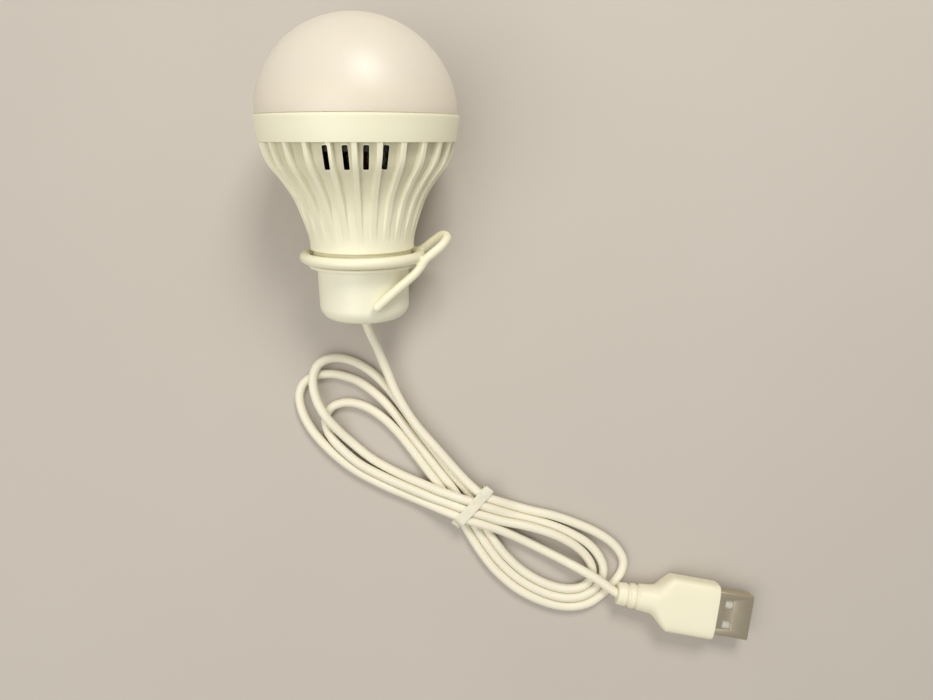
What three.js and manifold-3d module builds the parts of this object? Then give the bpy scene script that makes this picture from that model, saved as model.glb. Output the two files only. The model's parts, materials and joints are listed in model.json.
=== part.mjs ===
// A USB-powered LED bulb with a swivelling hanger and its lead in a tied hank, lying on its side.
// Millimetres, +Z up. The bulb's axis runs along +Y from base to dome, rising towards the dome, and the
// bulb's box stands centred on the origin. Inside the bulb, heights are measured along its axis from the
// base's end face, and angles round it from the side that faces up.
import * as THREE from "three";
import { mergeVertices } from "three/addons/utils/BufferGeometryUtils.js";
import Module from "manifold-3d";

const wasm = await Module();
wasm.setup();

// Driving dimensions, in millimetres.
const GAP = 0.3; // left between pieces that touch
const RIM_RADIUS = 24.7; // widest point, where the housing meets the dome
const RIM_HEIGHT = 49.8;
const BAND_LOW = { radius: 23.7, height: 43.6 }; // lower edge of the smooth band
const NECK = { radius: 13, height: 17.8 }; // lower end of the housing's visible surface
const RIB_COUNT = 26;
const RIB_WIDTH = 1.3;
const GROOVE_DEPTH = 1.3;
const GROOVE_END = 20.2; // height where the grooves have faded out
const SLOT = { width: 1.3, length: 5.6, places: [-6.5, -2.4, 1.8, 5.9] };
const DOME_RADIUS = 24.2;
const DOME_HEIGHT = 23;
const DOME_WALL = 1.3;
const DOME_SKIRT = { radius: 22.5, depth: 3.1 };
const BASE_RADIUS = 11.4;
const BASE_CORNER = 3.7;
const BASE_WALL = 1.8;
const BASE_TOP = 14.35; // upper face of the flange that carries the hanger
const FLANGE = { radius: 13.6, thickness: 0.85 };
const RING = { radius: 14.4, height: 16, rod: 1.35 }; // the hanger's collar, to its rod's centre
const ARM_ROD = 1.05;
const SPIGOT = { radius: 12.3, end: 14.8 }; // the neck inside the hanger's ring
const BORE = 11.4;
const SPREADER = { radius: 22.6, height: 45.5, thickness: 1.2, skirt: 20.8, depth: 3.8 };
const BOARD = { radius: 19.5, height: 47, thickness: 1, hole: 2.4 };
const LED = { count: 10, circle: 14, length: 5.7, width: 3, height: 0.8 };
const RESISTOR = { length: 3.2, width: 1.6, height: 0.6, place: 6.5 };
const SCREW = { head: 1.9, headHeight: 1.2, shank: 0.9, hole: 1.25, place: 7.5 };
const LEAD_RADIUS = 0.45;
const CORD_RADIUS = 1.2;
const CORD_BORE = 1.45;
const ENTRY = { hole: 3.2, recess: 4, depth: 0.6 }; // the base's hole for the grommet, and the step round it
const ROLL = THREE.MathUtils.degToRad(7); // how far the bulb has rolled to its right

// The bulb rests on the band's lower edge and on the hanger's ring.
const footRun = BAND_LOW.height - RING.height;
const footDrop = BAND_LOW.radius - RING.radius;
const REST_TILT = Math.atan2(footDrop, footRun) - Math.asin(RING.rod / Math.hypot(footRun, footDrop));

const creamPlastic = () => new THREE.MeshStandardMaterial({ color: 0xf0ead0, roughness: 0.42 });
const basePlastic = () => new THREE.MeshStandardMaterial({ color: 0xeeeadb, roughness: 0.4 });
const opalPlastic = () => new THREE.MeshStandardMaterial({ color: 0xf6efe6, roughness: 0.3 });
const cordPlastic = () => new THREE.MeshStandardMaterial({ color: 0xe9e3d2, roughness: 0.5 });
const greyMetal = () => new THREE.MeshStandardMaterial({ color: 0xb9b6ae, roughness: 0.35, metalness: 1 });
const goldMetal = () => new THREE.MeshStandardMaterial({ color: 0xd6b25e, roughness: 0.3, metalness: 1 });
const boardWhite = () => new THREE.MeshStandardMaterial({ color: 0xf4f4f0, roughness: 0.5 });
const phosphor = () => new THREE.MeshStandardMaterial({ color: 0xf0d860, roughness: 0.45 });
const chipBlack = () => new THREE.MeshStandardMaterial({ color: 0x1c1c1e, roughness: 0.5 });
const wireRed = () => new THREE.MeshStandardMaterial({ color: 0xa82c24, roughness: 0.5 });
const wireBlack = () => new THREE.MeshStandardMaterial({ color: 0x1a1a1a, roughness: 0.5 });
const clearPlastic = () => new THREE.MeshStandardMaterial({ color: 0xefeee8, roughness: 0.35 });

function addPiece(parent, name, geometry, material) {
  const mesh = new THREE.Mesh(geometry, material);
  mesh.name = name;
  parent.add(mesh);
  return mesh;
}

// A closed geometry as a manifold-3d solid, and back.
function solidOf(geometry) {
  const bare = geometry.index ? geometry.toNonIndexed() : geometry.clone();
  bare.deleteAttribute("normal");
  bare.deleteAttribute("uv");
  const merged = mergeVertices(bare, 1e-4);
  const vertProperties = new Float32Array(merged.attributes.position.array);
  const triVerts = new Uint32Array(merged.index.array);
  return new wasm.Manifold(new wasm.Mesh({ numProp: 3, vertProperties, triVerts }));
}

function geometryOf(solid) {
  const mesh = solid.getMesh();
  const geometry = new THREE.BufferGeometry();
  geometry.setAttribute("position", new THREE.BufferAttribute(new Float32Array(mesh.vertProperties), 3));
  geometry.setIndex(new THREE.BufferAttribute(new Uint32Array(mesh.triVerts), 1));
  return geometry;
}

function joined(geometries) {
  return geometries.map(solidOf).reduce((whole, next) => whole.add(next));
}

function cut(solid, geometries) {
  return geometries.map(solidOf).reduce((rest, tool) => rest.subtract(tool), solid);
}

const at = (radius, height) => new THREE.Vector2(radius, height);

// A closed ring of revolution: its profile runs round the section, up its outer side.
const turnedRing = (profile, sides) => new THREE.LatheGeometry([...profile, profile[0]], sides);

const plainRing = (inner, outer, low, high, sides) =>
  turnedRing([at(inner, low), at(outer, low), at(outer, high), at(inner, high)], sides);

// Points on an ellipse round a centre, from one angle to another, all in degrees.
function arc(centre, radiusX, radiusY, from, to, steps) {
  return Array.from({ length: steps + 1 }, (_, i) => {
    const angle = THREE.MathUtils.degToRad(from + ((to - from) * i) / steps);
    return at(centre.x + radiusX * Math.cos(angle), centre.y + radiusY * Math.sin(angle));
  });
}

function box(sizes, place) {
  return new THREE.BoxGeometry(...sizes).translate(...place);
}

// A round rod along a smooth curve through the points.
function rod(points, radius, halfSides, steps) {
  const section = new THREE.Shape().absarc(0, 0, radius, 0, 2 * Math.PI);
  const path = new THREE.CatmullRomCurve3(points.map((p) => new THREE.Vector3(...p)));
  return new THREE.ExtrudeGeometry(section, { steps, curveSegments: halfSides, extrudePath: path });
}

// Housing: a turned shell with a smooth band, ribs down to the neck and vent slots in four grooves on
// each side, all square to the mould's pull.
const sideCurve = new THREE.SplineCurve([
  at(NECK.radius, GROOVE_END - 1),
  at(13.3, 21.4),
  at(14.4, 25.2),
  at(16.3, 30.3),
  at(19, 34.7),
  at(22.1, 38.9),
  at(BAND_LOW.radius - 0.1, BAND_LOW.height),
]);

function grooveFloor(point) {
  const share = (point.y - GROOVE_END) / (BAND_LOW.height - GROOVE_END);
  const fade = THREE.MathUtils.smoothstep(share, 0, 0.55);
  return at(point.x - GROOVE_DEPTH * fade, point.y);
}

function housing() {
  const sidePoints = sideCurve.getPoints(8);
  const shell = turnedRing(
    [
      at(BORE, SPIGOT.end),
      at(SPIGOT.radius, SPIGOT.end),
      at(SPIGOT.radius, NECK.height),
      at(NECK.radius, NECK.height),
      ...sidePoints.map(grooveFloor),
      at(BAND_LOW.radius, BAND_LOW.height + 0.1),
      at(24.3, 46.8),
      at(RIM_RADIUS, RIM_HEIGHT - 0.4),
      at(RIM_RADIUS - 0.3, RIM_HEIGHT),
      at(DOME_SKIRT.radius + 0.4, RIM_HEIGHT),
      at(DOME_SKIRT.radius + 0.4, SPREADER.height - GAP),
      at(21.2, SPREADER.height - GAP),
      at(21.2, 42.4),
      at(19.2, 38.9),
      at(16.2, 34.7),
      at(13.6, 30.3),
      at(12.2, 25.7),
      at(BORE, 21.2),
    ],
    52,
  );
  const fin = new THREE.Shape([
    ...sidePoints.map((p) => at(p.x - GROOVE_DEPTH - 0.25, p.y)),
    ...sidePoints.reverse(),
  ]);
  const ribs = Array.from({ length: RIB_COUNT }, (_, i) =>
    new THREE.ExtrudeGeometry(fin, { depth: RIB_WIDTH, bevelEnabled: false })
      .translate(0, 0, -RIB_WIDTH / 2)
      .rotateY(-Math.PI / 2 + (2 * Math.PI * i) / RIB_COUNT),
  );
  const slotMiddle = BAND_LOW.height - 0.1 - SLOT.length / 2;
  const slots = [22, -22].flatMap((side) =>
    SLOT.places.map((x) => box([SLOT.width, SLOT.length, 20], [x, slotMiddle, side])),
  );
  return geometryOf(cut(joined([shell, ...ribs]), slots));
}

// Dome: an opal shell, a little flatter than half a ball, with a skirt that drops into the housing.
function diffuserDome() {
  const seat = RIM_HEIGHT + GAP;
  const outside = arc(at(0, seat), DOME_RADIUS, DOME_HEIGHT, 0, 90, 8);
  const inside = arc(at(0, seat), DOME_RADIUS - DOME_WALL, DOME_HEIGHT - DOME_WALL, 90, 20, 5);
  const skirtInner = DOME_SKIRT.radius - DOME_WALL;
  return new THREE.LatheGeometry(
    [
      ...inside,
      at(skirtInner, seat + 2),
      at(skirtInner, seat - DOME_SKIRT.depth),
      at(DOME_SKIRT.radius, seat - DOME_SKIRT.depth),
      at(DOME_SKIRT.radius, seat),
      ...outside,
    ],
    40,
  );
}

// Base cap: a cup with a rounded end, a flange that keeps the hanger on, and a spigot in the neck.
function baseCap() {
  const corner = arc(at(BASE_RADIUS - BASE_CORNER, BASE_CORNER), BASE_CORNER, BASE_CORNER, -90, 0, 5);
  return turnedRing(
    [
      at(ENTRY.recess, 0),
      ...corner,
      at(BASE_RADIUS + 0.2, BASE_TOP - FLANGE.thickness),
      at(FLANGE.radius, BASE_TOP - FLANGE.thickness),
      at(FLANGE.radius, BASE_TOP),
      at(BORE - 0.4, BASE_TOP),
      at(BORE - 0.4, 20.2),
      at(BORE - 2, 20.2),
      at(BORE - 2, BASE_WALL + 1.5),
      at(BORE - 3.5, BASE_WALL),
      at(ENTRY.hole, BASE_WALL),
      at(ENTRY.hole, ENTRY.depth),
      at(ENTRY.recess, ENTRY.depth),
    ],
    40,
  );
}

// Hanger: one moulded rod. It leaves its ring on the right, turns back in a long eye and crosses the
// base's front to a rounded tip.
const hangerPath = [
  [12.7, 16, -6.8],
  [15, 17, -4.8],
  [17.8, 19.2, -3.7],
  [20.2, 20.9, -1.7],
  [21.4, 20.6, 0.9],
  [20.3, 19, 3.2],
  [18, 17.1, 4.2],
  [16.1, 15.5, 4.4],
  [15, 13.9, 4.7],
  [13.4, 12.1, 5.9],
  [10.6, 9.9, 8.3],
  [7.6, 7.6, 10.8],
  [4.65, 5.1, 12.2],
];

function hanger() {
  const ring = turnedRing(arc(at(RING.radius, RING.height), RING.rod, RING.rod, -90, 225, 7), 40);
  const tip = new THREE.SphereGeometry(ARM_ROD, 8, 5).translate(...hangerPath.at(-1));
  return geometryOf(joined([ring, rod(hangerPath, ARM_ROD, 4, 28), tip]));
}

// Light engine: a pressed aluminium cup, a board screwed to it, its emitters and resistors.
function heatSpreader() {
  const { radius, height, thickness, skirt, depth } = SPREADER;
  const cup = turnedRing(
    [
      at(BOARD.hole, height),
      at(skirt - 1.2, height),
      at(skirt - 1.2, height - depth),
      at(skirt, height - depth),
      at(skirt, height),
      at(radius, height),
      at(radius, height + thickness),
      at(BOARD.hole, height + thickness),
    ],
    40,
  );
  return geometryOf(cut(solidOf(cup), screwHoles()));
}

const screwPlaces = [-SCREW.place, SCREW.place];
const screwHoles = () =>
  screwPlaces.map((z) => new THREE.CylinderGeometry(SCREW.hole, SCREW.hole, 8, 12).translate(0, 46.5, z));

function ledBoard() {
  const top = BOARD.height + BOARD.thickness;
  const disc = plainRing(BOARD.hole, BOARD.radius, BOARD.height, top, 40);
  return geometryOf(cut(solidOf(disc), screwHoles()));
}

function boardScrew(z) {
  const seat = BOARD.height + BOARD.thickness + GAP;
  const tip = seat - 3;
  return new THREE.LatheGeometry(
    [
      at(0, tip),
      at(SCREW.shank, tip),
      at(SCREW.shank, seat),
      at(SCREW.head, seat),
      at(SCREW.head, seat + 0.6),
      at(SCREW.head * 0.6, seat + SCREW.headHeight),
      at(0, seat + SCREW.headHeight),
    ],
    12,
  ).translate(0, 0, z);
}

// The bulb: everything that turns with the housing, and the hanger on its neck.
const bulb = new THREE.Group();
bulb.rotation.x = REST_TILT;
const body = new THREE.Group();
body.rotation.y = ROLL;
bulb.add(body);

addPiece(body, "housing", housing(), creamPlastic());
addPiece(body, "diffuser_dome", diffuserDome(), opalPlastic());
addPiece(body, "base_cap", baseCap(), basePlastic());
addPiece(bulb, "hanger", hanger(), creamPlastic());
addPiece(body, "heat_spreader", heatSpreader(), greyMetal());
addPiece(body, "led_board", ledBoard(), boardWhite());

const boardTop = BOARD.height + BOARD.thickness + GAP;
for (let i = 0; i < LED.count; i++) {
  const led = box([LED.length, LED.height, LED.width], [0, boardTop + LED.height / 2, LED.circle]);
  addPiece(body, "led_" + (i + 1), led.rotateY(((i + 0.5) * 2 * Math.PI) / LED.count), phosphor());
}
[-1, 1].forEach((side, i) => {
  const place = [side * RESISTOR.place, boardTop + RESISTOR.height / 2, 2];
  const resistor = box([RESISTOR.length, RESISTOR.height, RESISTOR.width], place);
  addPiece(body, "resistor_" + (i + 1), resistor, chipBlack());
});
screwPlaces.forEach((z, i) => addPiece(body, "board_screw_" + (i + 1), boardScrew(z), greyMetal()));

// Wires from the cord's end, up through the board's middle hole and over onto its face.
const CORD_START = 9.3; // height of the cord's inner end
const leadPath = (side) => [
  [side * 0.6, CORD_START + GAP, 0],
  [side * 1.6, 18, 1],
  [side * 2.4, 31, 1.5],
  [side * 1, 43, 0],
  [side * 1, 47.6, 0],
  [side * 2.2, boardTop + 1, -0.6],
  [side * 4.2, boardTop + LEAD_RADIUS, -2],
];
addPiece(body, "lead_positive", rod(leadPath(1), LEAD_RADIUS, 3, 18), wireRed());
addPiece(body, "lead_negative", rod(leadPath(-1), LEAD_RADIUS, 3, 18), wireBlack());

// Cord entry: a crimped stop inside the base and a bush in its end face.
addPiece(body, "cord_stop", plainRing(CORD_BORE, 2.8, 5, 8, 16), greyMetal());
const grommet = turnedRing(
  [
    at(CORD_BORE, -0.9),
    at(2.9, -0.9),
    at(ENTRY.recess - GAP, -0.2),
    at(ENTRY.recess - GAP, ENTRY.depth - GAP),
    at(ENTRY.hole - GAP, ENTRY.depth - GAP),
    at(ENTRY.hole - GAP, BASE_WALL + GAP),
    at(3.7, BASE_WALL + GAP),
    at(3.7, BASE_WALL + 1.1),
    at(CORD_BORE, BASE_WALL + 1.1),
  ],
  20,
);
addPiece(body, "cord_grommet", grommet, cordPlastic());

// Stand the bulb on the ground with its box centred on the origin.
const restBox = new THREE.Box3().setFromObject(bulb, true);
const restMiddle = restBox.getCenter(new THREE.Vector3());
bulb.position.set(-restMiddle.x, -restMiddle.y, -restBox.min.z);
bulb.updateMatrixWorld(true);

// Cord: out along the bulb's axis, down onto the ground and along it to the hank.
const onAxis = (height) => bulb.localToWorld(new THREE.Vector3(0, height, 0)).toArray();
const cordPath = [
  ...[CORD_START, 6, 3, 0, -2.5].map(onAxis),
  [0.8, -39.4, 8.4],
  [1.7, -41.9, 6],
  [2.6, -44.2, 3.8],
  [3.5, -46.4, 2.3],
  [4.3, -48.5, 1.5],
  [5, -50.3, CORD_RADIUS + 0.05],
];

// Hank: the outer shape of the cord's folded loops, seen from above, with a waist for the tie.
const HANK_HEIGHT = 6;
const hankOutline = [
  [6.6, -51],
  [8.4, -55],
  [13.6, -64],
  [19, -71],
  [24.5, -77],
  [31.2, -82],
  [38, -85.6],
  [48.5, -87.2],
  [56, -89],
  [63, -92.3],
  [69, -96.4],
  [71, -100.8],
  [67.8, -104.4],
  [64.6, -106.8],
  [62, -111.4],
  [58, -113.8],
  [52, -114],
  [46, -112.6],
  [39.5, -109],
  [32.5, -102.6],
  [28, -97],
  [23.6, -90],
  [18.5, -87.6],
  [9.6, -84.4],
  [1.4, -80.8],
  [-7, -76],
  [-15, -68.6],
  [-20, -61],
  [-20.8, -54.6],
  [-19, -50.3],
  [-16, -47],
  [-12.2, -44.5],
  [-7.6, -44.2],
  [-2.6, -45.7],
  [1.4, -48.6],
  [4.2, -51.6],
];
const TIE = { x: 27.5, y: -86, turn: -0.75, width: 2.6, span: 13.6, height: 7, thickness: 0.7 };

// A band round the hank's waist, across the cord, with each face moved out by a clearance.
function tieBand(clearance) {
  const { x, y, turn, width, span, height, thickness } = TIE;
  const rectangle = (half, low, high) => [at(-half, low), at(half, low), at(half, high), at(-half, high)];
  const loop = new THREE.Shape(rectangle(span / 2 + clearance, -clearance, height + clearance));
  const wall = thickness + clearance;
  loop.holes.push(new THREE.Path(rectangle(span / 2 - wall, wall, height - wall)));
  return new THREE.ExtrudeGeometry(loop, { depth: width + 2 * clearance, bevelEnabled: false })
    .translate(0, 0, -width / 2 - clearance)
    .rotateX(Math.PI / 2)
    .rotateZ(Math.PI / 2 + turn)
    .translate(x, y, 0);
}

function hank() {
  const outline = new THREE.Shape(hankOutline.map(([x, y]) => at(x, y)));
  const whole = new THREE.ExtrudeGeometry(outline, { depth: HANK_HEIGHT, bevelEnabled: false });
  return geometryOf(cut(solidOf(whole), [tieBand(GAP)]));
}

// Plug: along its own +X, front face of the grip at 0, lying flat on the ground.
const GRIP = { length: 12.5, halfWidth: 7.5, height: 7.6, shoulder: 5, corner: 1.2 };
const RELIEF = { length: 9, front: 3.6, rear: 2.8, groove: 0.5 };
const SHELL = { width: 12, height: 4.5, wall: 0.3, reach: 9.4, inserted: 8.6 };
const WINDOW = { size: 2.2, fromFront: 6.2, place: 2.7 };
const TONGUE = { width: 10.8, thickness: 1.7, reach: 8.8 };
const CONTACTS = [
  { place: -3.5, reach: 7.9 },
  { place: -1, reach: 7 },
  { place: 1, reach: 7 },
  { place: 3.5, reach: 7.9 },
];
const plugMiddle = GRIP.height / 2;

function plugBody() {
  const { length, halfWidth, height, shoulder, corner } = GRIP;
  const outline = new THREE.Shape()
    .moveTo(-length - shoulder - 1, -RELIEF.front)
    .lineTo(-length - shoulder, -RELIEF.front)
    .lineTo(-length - corner / 2, -halfWidth + corner / 2)
    .quadraticCurveTo(-length, -halfWidth, -length + corner, -halfWidth)
    .lineTo(0, -halfWidth)
    .lineTo(0, halfWidth)
    .lineTo(-length + corner, halfWidth)
    .quadraticCurveTo(-length, halfWidth, -length - corner / 2, halfWidth - corner / 2)
    .lineTo(-length - shoulder, RELIEF.front)
    .lineTo(-length - shoulder - 1, RELIEF.front);
  const grip = new THREE.ExtrudeGeometry(outline, { depth: height, bevelEnabled: false, curveSegments: 4 });
  const steps = 8;
  const reliefProfile = Array.from({ length: steps }, (_, i) => {
    const radius = THREE.MathUtils.lerp(RELIEF.rear, RELIEF.front, i / (steps - 1));
    const grooved = i === 3 || i === 5;
    return at(grooved ? radius - RELIEF.groove : radius, (i / (steps - 1)) * (RELIEF.length + 1));
  });
  const relief = new THREE.LatheGeometry([at(0, 0), ...reliefProfile, at(0, RELIEF.length + 1)], 20)
    .rotateZ(-Math.PI / 2)
    .translate(-length - shoulder - RELIEF.length, 0, plugMiddle);
  const pocket = box(
    [SHELL.inserted + 1, SHELL.width + 2 * GAP, SHELL.height + 2 * GAP],
    [-SHELL.inserted / 2, 0, plugMiddle],
  );
  return geometryOf(cut(joined([grip, relief]), [pocket]));
}

function plugShell() {
  const { width, height, wall, reach, inserted } = SHELL;
  const whole = reach + inserted - GAP;
  const middle = reach - whole / 2;
  const windows = [-1, 1].map((side) =>
    box([WINDOW.size, WINDOW.size, 10], [reach - WINDOW.fromFront, side * WINDOW.place, plugMiddle]),
  );
  const inside = box([whole + 2, width - 2 * wall, height - 2 * wall], [middle, 0, plugMiddle]);
  return geometryOf(cut(solidOf(box([whole, width, height], [middle, 0, plugMiddle])), [inside, ...windows]));
}

// The tongue lies along the shell's upper side, with its contacts facing down.
const tongueTop = plugMiddle + SHELL.height / 2 - SHELL.wall - GAP;

function plugTongue() {
  const rear = -SHELL.inserted + 2 * GAP;
  const length = TONGUE.reach - rear;
  const plate = box(
    [length, TONGUE.width, TONGUE.thickness],
    [rear + length / 2, 0, tongueTop - TONGUE.thickness / 2],
  );
  const blockHeight = SHELL.height - 2 * SHELL.wall - 2 * GAP;
  const block = box([4.5, TONGUE.width, blockHeight], [rear + 2.25, 0, plugMiddle]);
  return geometryOf(joined([plate, block]));
}

function plugContact({ place, reach }) {
  const rear = -1;
  const size = [reach - rear, 1, 0.25];
  return box(size, [(reach + rear) / 2, place, tongueTop - TONGUE.thickness - GAP - size[2] / 2]);
}

const plug = new THREE.Group();
plug.position.set(93, -113.4, 0);
plug.rotation.z = THREE.MathUtils.degToRad(-10);
addPiece(plug, "plug_body", plugBody(), creamPlastic());
addPiece(plug, "plug_shell", plugShell(), greyMetal());
addPiece(plug, "plug_tongue", plugTongue(), boardWhite());
CONTACTS.forEach((c, i) => addPiece(plug, "plug_contact_" + (i + 1), plugContact(c), goldMetal()));

const part = new THREE.Group();
part.add(bulb, plug);
addPiece(part, "cord_run", rod(cordPath, CORD_RADIUS, 4, 26), cordPlastic());
addPiece(part, "cord_hank", hank(), cordPlastic());
addPiece(part, "cord_tie", tieBand(0), clearPlastic());

export default part;
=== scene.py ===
# A USB bulb on its side, with its hanger and its lead in a tied hank: the visible pieces, built round the
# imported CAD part. Metres, +Z up. The bulb's axis runs along +Y from base to dome, rising towards the dome.
import json
import math

import bpy
import numpy as np
from mathutils import Matrix, Vector


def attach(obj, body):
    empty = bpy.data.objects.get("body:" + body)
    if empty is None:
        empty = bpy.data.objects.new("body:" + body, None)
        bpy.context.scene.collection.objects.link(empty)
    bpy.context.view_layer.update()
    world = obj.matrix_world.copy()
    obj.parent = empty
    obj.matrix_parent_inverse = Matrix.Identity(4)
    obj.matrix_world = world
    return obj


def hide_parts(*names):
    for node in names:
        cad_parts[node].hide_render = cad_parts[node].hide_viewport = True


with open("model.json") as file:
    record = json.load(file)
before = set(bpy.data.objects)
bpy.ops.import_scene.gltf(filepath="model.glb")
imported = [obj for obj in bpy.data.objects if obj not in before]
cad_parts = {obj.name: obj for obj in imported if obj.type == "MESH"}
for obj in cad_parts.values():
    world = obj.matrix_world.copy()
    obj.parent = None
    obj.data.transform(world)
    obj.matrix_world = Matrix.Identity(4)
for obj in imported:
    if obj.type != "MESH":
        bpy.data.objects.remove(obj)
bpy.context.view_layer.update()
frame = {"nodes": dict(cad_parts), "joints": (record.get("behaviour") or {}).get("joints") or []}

# Camera: straight above the part, with +Y at the top of the picture.
camera = bpy.data.objects.new("camera", bpy.data.cameras.new("camera"))
camera.data.sensor_width = 36
camera.data.lens = 28.17
camera.data.clip_start = 0.01
camera.location = (0.02635, -0.0432, 0.201)
bpy.context.scene.collection.objects.link(camera)
bpy.context.scene.camera = camera
bpy.context.scene.view_settings.view_transform = "Standard"

# Cord: limp round PVC flex. It leaves the base, is folded into three loops on each side of the tie and
# ends in the plug. Its route is given point by point, and then settles on the ground and on itself.
MM = 0.001
CORD_DIAMETER = 0.0024
TIE_PLACE = Vector((0.0275, -0.086, 0))
TIE_TURN = -0.75
TIE_STRAP = 0.0004
GROUND_GAP = 0.00005
HELD_IN_BASE = 12
HELD_IN_PLUG = 7
SETTLE_STEPS = 360
SINK_STEPS = 240
SINK_PER_STEP = 0.00003
PLUG_FRONT = Vector((0.093, -0.1134, 0.0038))
PLUG_TURN = math.radians(-10)

swivel = frame["joints"][0]
bulb_axis = Vector(swivel["axis"])
RING_HEIGHT = 0.016
base_end = Vector(swivel["pos_m"]) - RING_HEIGHT * bulb_axis

# Each stretch in millimetres, in the order that the cord runs.
run_from_base = [
    (1.3, -39.4, 8.6),
    (2.5, -42.2, 6.9),
    (3.6, -45.4, 5.4),
    (5.0, -49.1, 4.3),
    (7.1, -54.4, 3.7),
    (9.8, -59.6, 3.5),
    (12.9, -64.5, 3.5),
    (17.9, -70.9, 3.5),
    (23.4, -77.3, 3.7),
    (29.8, -83.0, 4.3),
]
right_outer = [
    (34.4, -85.2, 3.4),
    (39.0, -86.9, 1.6),
    (43.6, -88.0, 1.2),
    (49.4, -88.8, 1.2),
    (55.2, -90.4, 1.2),
    (61.6, -93.0, 1.2),
    (66.4, -96.2, 1.2),
    (69.0, -100.0, 1.2),
    (68.7, -103.4, 1.2),
    (66.4, -106.6, 1.2),
    (63.3, -109.4, 1.2),
    (59.4, -112.0, 1.2),
    (54.2, -112.8, 1.2),
    (48.3, -111.8, 1.2),
    (40.9, -108.5, 1.2),
    (34.8, -103.4, 1.2),
    (30.8, -98.1, 1.2),
    (27.7, -93.4, 1.3),
    (25.4, -89.8, 1.9),
]
left_inner = [
    (23.2, -86.6, 1.9),
    (20.7, -83.2, 1.3),
    (18.2, -79.4, 1.2),
    (15.4, -75.2, 1.2),
    (11.6, -70.1, 1.2),
    (7.2, -65.0, 1.2),
    (2.7, -61.0, 1.2),
    (-1.9, -58.4, 1.2),
    (-6.5, -57.6, 1.2),
    (-10.4, -59.0, 1.2),
    (-12.0, -62.4, 1.2),
    (-11.0, -66.2, 1.4),
    (-8.0, -69.9, 2.2),
    (-2.4, -74.6, 2.8),
    (4.6, -78.2, 2.8),
    (11.2, -80.8, 2.8),
    (17.4, -83.0, 3.3),
    (22.4, -84.7, 4.1),
    (27.1, -86.4, 4.3),
]
right_inner = [
    (32.0, -87.8, 4.0),
    (36.5, -88.7, 3.6),
    (41.2, -89.3, 3.4),
    (46.5, -90.7, 3.3),
    (51.8, -93.2, 3.2),
    (56.4, -96.5, 2.4),
    (59.6, -100.2, 1.4),
    (60.8, -104.0, 1.2),
    (59.4, -107.2, 1.2),
    (56.2, -108.8, 1.2),
    (51.4, -108.7, 1.3),
    (46.3, -106.7, 1.5),
    (40.9, -103.3, 1.5),
    (36.3, -99.0, 1.4),
    (33.4, -95.3, 1.3),
    (31.2, -91.6, 1.3),
]
left_top = [
    (29.9, -88.2, 1.7),
    (28.7, -84.9, 1.9),
    (26.4, -81.2, 1.5),
    (23.2, -77.6, 1.2),
    (18.0, -71.4, 1.2),
    (13.1, -65.0, 1.2),
    (9.6, -59.9, 1.2),
    (6.5, -55.6, 1.2),
    (3.2, -51.8, 1.2),
    (-0.3, -48.8, 1.3),
    (-3.9, -46.7, 1.6),
    (-7.5, -45.6, 2.2),
    (-10.9, -45.7, 3.0),
    (-13.7, -47.2, 3.6),
    (-15.1, -50.1, 3.6),
    (-15.2, -53.4, 3.6),
    (-14.3, -57.0, 3.6),
    (-12.3, -60.7, 3.6),
    (-9.3, -64.4, 2.7),
    (-5.2, -68.4, 1.5),
    (1.1, -73.4, 1.2),
    (9.6, -77.9, 1.3),
    (17.6, -81.0, 2.0),
    (23.0, -83.0, 3.8),
    (28.6, -84.7, 4.3),
]
right_middle = [
    (33.4, -86.4, 3.7),
    (38.4, -88.3, 2.2),
    (44.5, -90.3, 1.3),
    (50.3, -92.0, 1.2),
    (54.9, -93.8, 1.2),
    (59.2, -96.1, 1.2),
    (62.4, -99.4, 1.2),
    (63.8, -102.9, 1.2),
    (63.0, -106.5, 1.2),
    (60.8, -109.2, 1.2),
    (57.2, -110.8, 1.3),
    (52.5, -110.8, 1.5),
    (46.6, -109.1, 1.3),
    (40.8, -105.9, 1.2),
    (35.6, -101.2, 1.2),
    (31.9, -96.3, 1.2),
    (29.3, -92.0, 1.3),
    (27.2, -88.2, 1.8),
]
left_outer = [
    (25.0, -84.4, 1.8),
    (22.2, -80.2, 1.3),
    (18.8, -75.8, 1.2),
    (14.9, -70.6, 1.2),
    (10.4, -65.0, 1.3),
    (6.4, -60.0, 1.3),
    (2.5, -56.0, 1.2),
    (-2.7, -52.0, 1.2),
    (-7.2, -50.2, 1.2),
    (-11.1, -49.6, 1.2),
    (-15.0, -50.1, 1.2),
    (-18.0, -51.9, 1.2),
    (-19.3, -55.0, 1.2),
    (-19.0, -58.4, 1.2),
    (-17.5, -62.3, 1.2),
    (-14.5, -66.8, 1.2),
    (-9.6, -71.7, 1.2),
    (-4.0, -75.8, 1.2),
    (2.8, -79.3, 1.2),
    (10.5, -82.6, 1.2),
    (16.6, -84.8, 2.1),
    (21.6, -86.4, 3.7),
]
run_to_plug = [
    (26.4, -88.4, 4.2),
    (31.0, -90.0, 3.9),
    (35.6, -91.9, 3.0),
    (40.8, -94.5, 2.2),
    (46.2, -97.2, 2.0),
    (52.4, -100.2, 2.6),
    (57.8, -102.9, 3.5),
    (62.4, -105.6, 3.7),
]


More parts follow.
